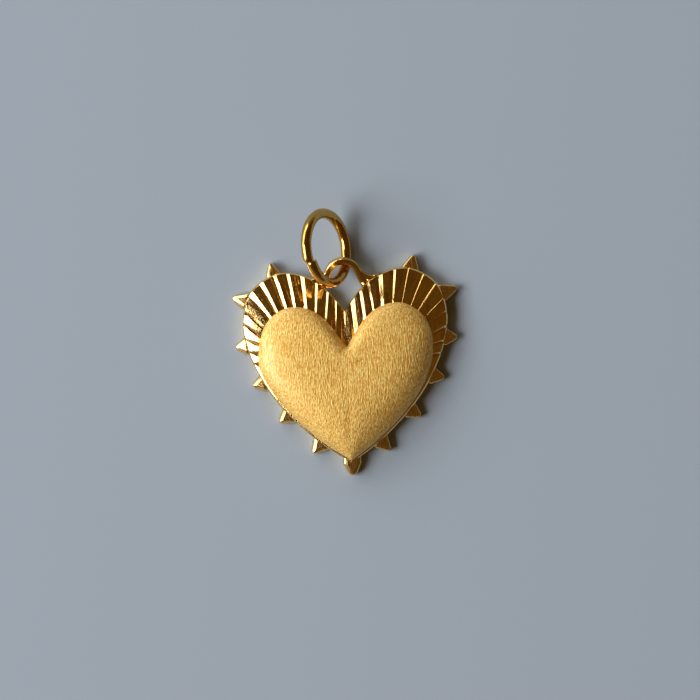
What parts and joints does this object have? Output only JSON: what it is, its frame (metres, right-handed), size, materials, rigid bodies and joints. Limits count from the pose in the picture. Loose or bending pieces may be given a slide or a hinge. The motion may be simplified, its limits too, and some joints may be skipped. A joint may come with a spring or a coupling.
{
  "type": "heart charm",
  "caption": "Puffed heart charm with a fluted ray collar, small blunt points round its edge, a soldered wire eyelet between the lobes and a loose jump ring.",
  "frame": {"origin": "on the flat back face, on the heart's symmetry line, halfway between its tip and the top of its lobes without the points", "axes": "+X to the right of the face, +Y towards the eyelet, +Z out of the face; the charm lies on its back, so Z = 0 is the table"},
  "size_m": [0.0252, 0.03, 0.0078],
  "materials": {
    "polished_gold": "polished gold plate",
    "satin_gold": "satin-brushed gold plate"
  },
  "bodies": {
    "charm": {"back_plate": "polished_gold", "ray_collar": "polished_gold", "domed_heart": "satin_gold", "bail_loop": "polished_gold", "tip_point": "polished_gold", "left_point_1": "polished_gold", "left_point_2": "polished_gold", "left_point_3": "polished_gold", "left_point_4": "polished_gold", "left_point_5": "polished_gold", "left_point_6": "polished_gold", "right_point_1": "polished_gold", "right_point_2": "polished_gold", "right_point_3": "polished_gold", "right_point_4": "polished_gold", "right_point_5": "polished_gold", "right_point_6": "polished_gold"},
    "ring": {"jump_ring": "polished_gold"}
  },
  "joints": [
    {"name": "ring_swing", "type": "hinge", "parent": "charm", "child": "ring", "pos_m": [0, 0.0118, 0.00221], "axis": [1, 0, 0], "range_deg": [-140, 40]}
  ]
}
